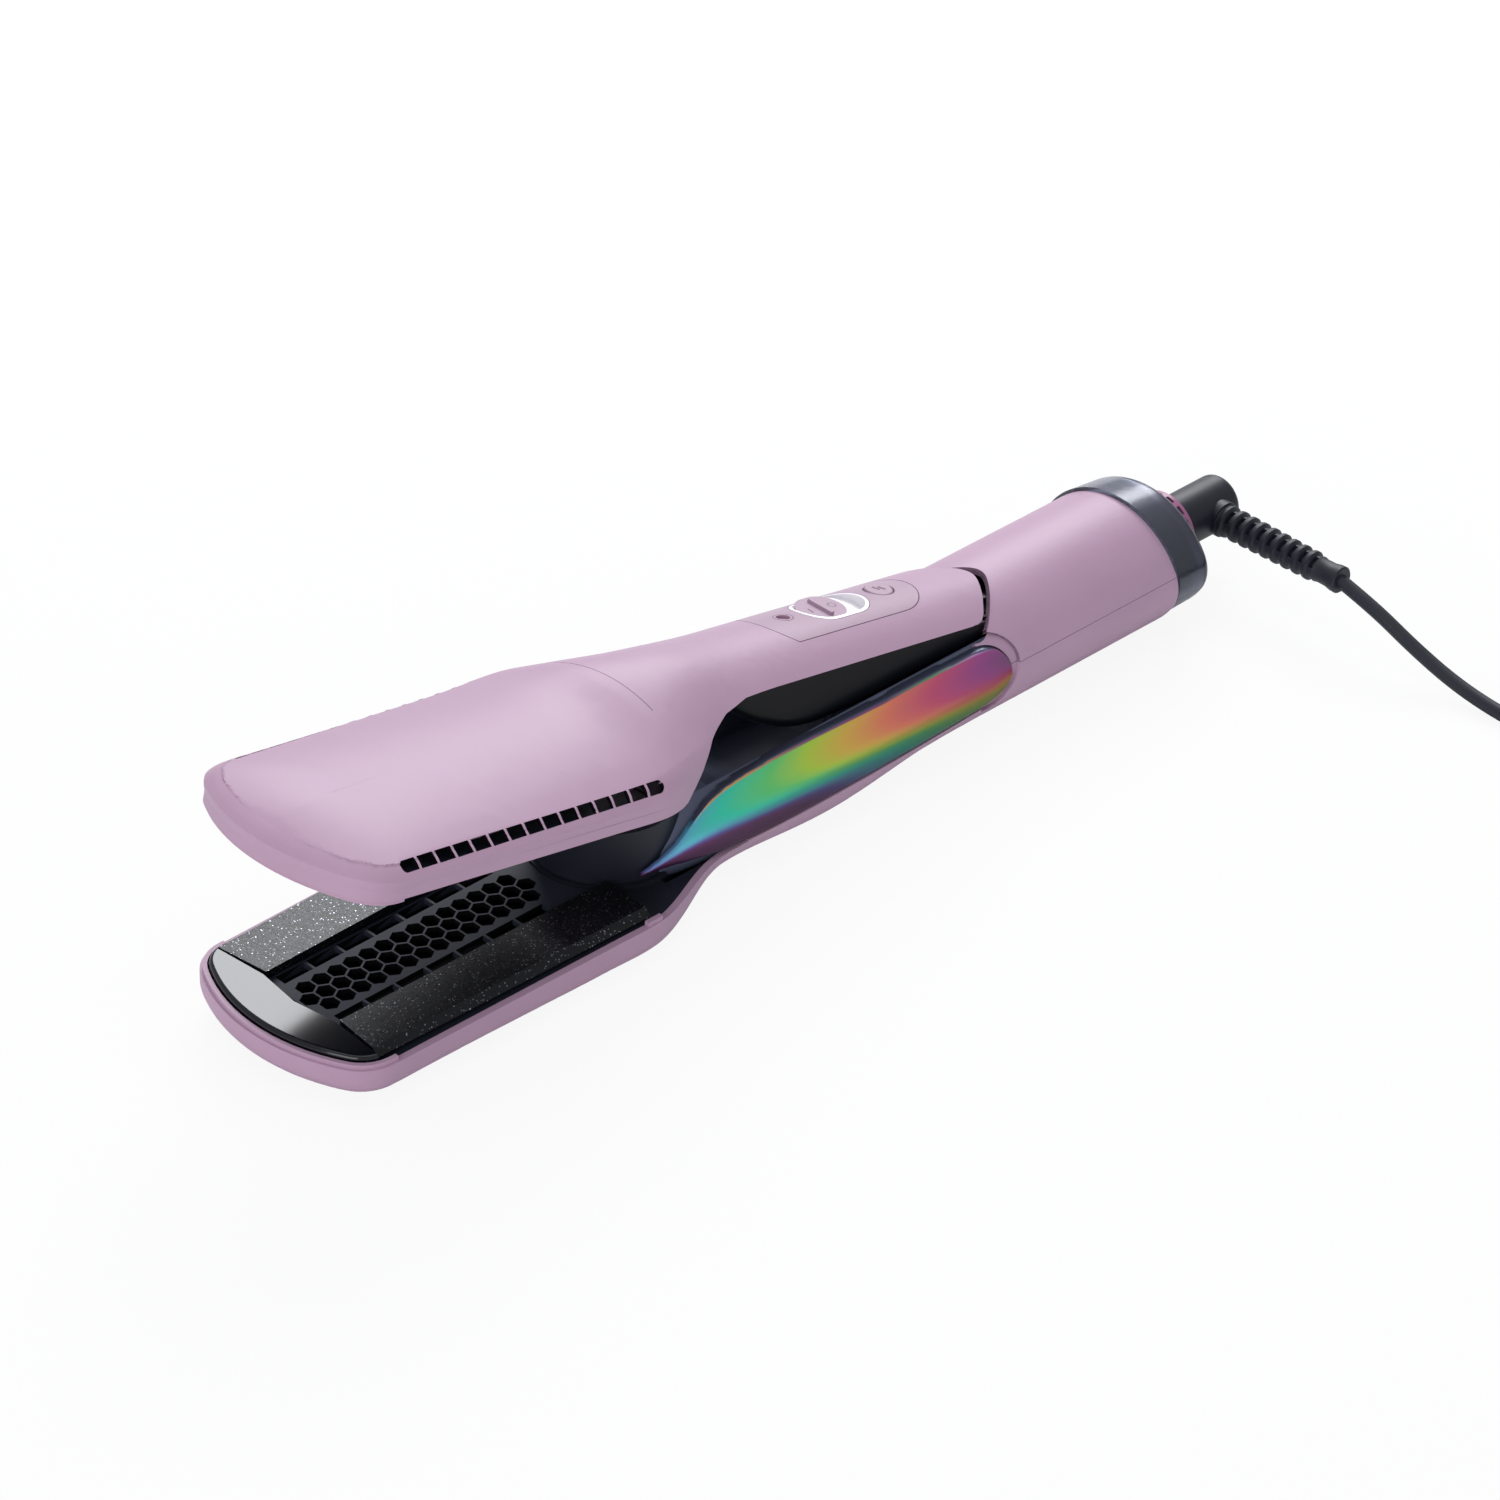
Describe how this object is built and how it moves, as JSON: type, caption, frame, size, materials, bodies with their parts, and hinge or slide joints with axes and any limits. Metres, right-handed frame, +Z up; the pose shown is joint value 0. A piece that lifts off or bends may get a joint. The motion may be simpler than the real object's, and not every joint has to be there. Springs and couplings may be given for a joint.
{
  "type": "hot-air hair styler",
  "caption": "Two-armed hair styler with heated plates, a honeycomb air grill between them, a sprung hinge, slide switch, rear air intake and mains cord.",
  "frame": {"origin": "centre of the underside of the styler's bounding box, on the surface it rests on, cord left out", "axes": "+X from the nose to the cord end, +Z up, -Y the side that the picture shows"},
  "size_m": [0.4885, 0.2239, 0.0735],
  "materials": {
    "pink_satin": "satin lacquer",
    "pink_gloss": "gloss",
    "slate": "satin",
    "black_gloss": "gloss",
    "iridescent": "iridescent film",
    "ceramic": "speckled ceramic coating",
    "mica": "natural",
    "heater_foil": "plain",
    "dark_resin": "moulded",
    "silicone": "moulded",
    "spring_steel": "plain",
    "motor_steel": "plain",
    "white_resin": "moulded",
    "board": "solder mask",
    "smoky": "clear smoke tint",
    "bright": "bright",
    "cord_rubber": "matt",
    "brass_pin": "nickelled"
  },
  "bodies": {
    "body": {"air_heater": "mica", "arm_spring": "motor_steel", "barrel_upper_casing": "pink_satin", "cap_core": "dark_resin", "casing_screws": "motor_steel", "control_board": "board", "duct_tower": "slate", "far_grip_panel": "iridescent", "filter_mesh": "dark_resin", "hinge_pin": "motor_steel", "inner_body": "slate", "intake_ring": "pink_gloss", "lower_casing": "pink_satin", "lower_grill": "slate", "lower_nose_cap": "black_gloss", "lower_plate_cushions": "silicone", "lower_spring_rails": "spring_steel", "lower_tray": "slate", "motor_can": "motor_steel", "motor_cradle": "white_resin", "near_grip_panel": "iridescent", "rear_cap": "smoky", "swivel_bush": "white_resin", "thermal_fuse": "white_resin", "tower_gasket": "silicone"},
    "arm": {"arm_casing": "pink_satin", "arm_inner_shell": "black_gloss", "upper_tray": "slate", "upper_grill": "slate", "upper_nose_cap": "black_gloss", "control_inlay": "pink_gloss", "slider_bezel": "bright", "indicator_ring": "pink_gloss", "switch_board": "board", "micro_switch": "dark_resin", "upper_plate_cushions": "silicone", "upper_spring_rails": "spring_steel"},
    "rotor": {"impeller": "white_resin", "motor_shaft": "motor_steel"},
    "slider": {"power_slider": "pink_satin"},
    "button": {"mode_button": "pink_satin"},
    "lower_near_plate_set": {"lower_near_plate": "ceramic", "lower_near_heater": "heater_foil", "lower_near_carrier": "dark_resin"},
    "lower_far_plate_set": {"lower_far_plate": "ceramic", "lower_far_heater": "heater_foil", "lower_far_carrier": "dark_resin"},
    "upper_near_plate_set": {"upper_near_plate": "ceramic", "upper_near_heater": "heater_foil", "upper_near_carrier": "dark_resin"},
    "upper_far_plate_set": {"upper_far_plate": "ceramic", "upper_far_heater": "heater_foil", "upper_far_carrier": "dark_resin"},
    "cord": {"cord_elbow": "slate", "strain_relief": "cord_rubber", "cord_run": "cord_rubber", "cord_coil": "cord_rubber", "cord_tail": "cord_rubber", "plug": "cord_rubber", "plug_pins": "brass_pin"}
  },
  "joints": [
    {"name": "arm_hinge", "type": "hinge", "parent": "body", "child": "arm", "pos_m": [0.08115, 0, 0.0278], "axis": [0, -1, 0], "range_deg": [0, 10.65], "stiffness_Nm_per_rad": 1.2, "springref_deg": -20.05},
    {"name": "rotor_spin", "type": "hinge", "parent": "body", "child": "rotor", "pos_m": [0.10775, 0, 0.01853], "axis": [1, 0, 0], "continuous": true},
    {"name": "cord_swivel", "type": "hinge", "parent": "body", "child": "cord", "pos_m": [0.15875, 0, 0.01853], "axis": [1, 0, 0], "continuous": true},
    {"name": "slider_slide", "type": "slide", "parent": "arm", "child": "slider", "axis": [0.9825, 0, -0.1865], "range_m": [0, 0.0035]},
    {"name": "button_press", "type": "slide", "parent": "arm", "child": "button", "axis": [-0.1865, 0, -0.9825], "range_m": [0, 0.0008], "stiffness_N_per_m": 800, "springref_m": -0.001},
    {"name": "lower_near_plate_float", "type": "slide", "parent": "body", "child": "lower_near_plate_set", "axis": [0, 0, -1], "range_m": [0, 0.00055], "stiffness_N_per_m": 3000, "springref_m": -0.001},
    {"name": "lower_far_plate_float", "type": "slide", "parent": "body", "child": "lower_far_plate_set", "axis": [0, 0, -1], "range_m": [0, 0.00055], "stiffness_N_per_m": 3000, "springref_m": -0.001},
    {"name": "upper_near_plate_float", "type": "slide", "parent": "arm", "child": "upper_near_plate_set", "axis": [0.1865, 0, 0.9825], "range_m": [0, 0.00055], "stiffness_N_per_m": 3000, "springref_m": -0.001},
    {"name": "upper_far_plate_float", "type": "slide", "parent": "arm", "child": "upper_far_plate_set", "axis": [0.1865, 0, 0.9825], "range_m": [0, 0.00055], "stiffness_N_per_m": 3000, "springref_m": -0.001}
  ]
}
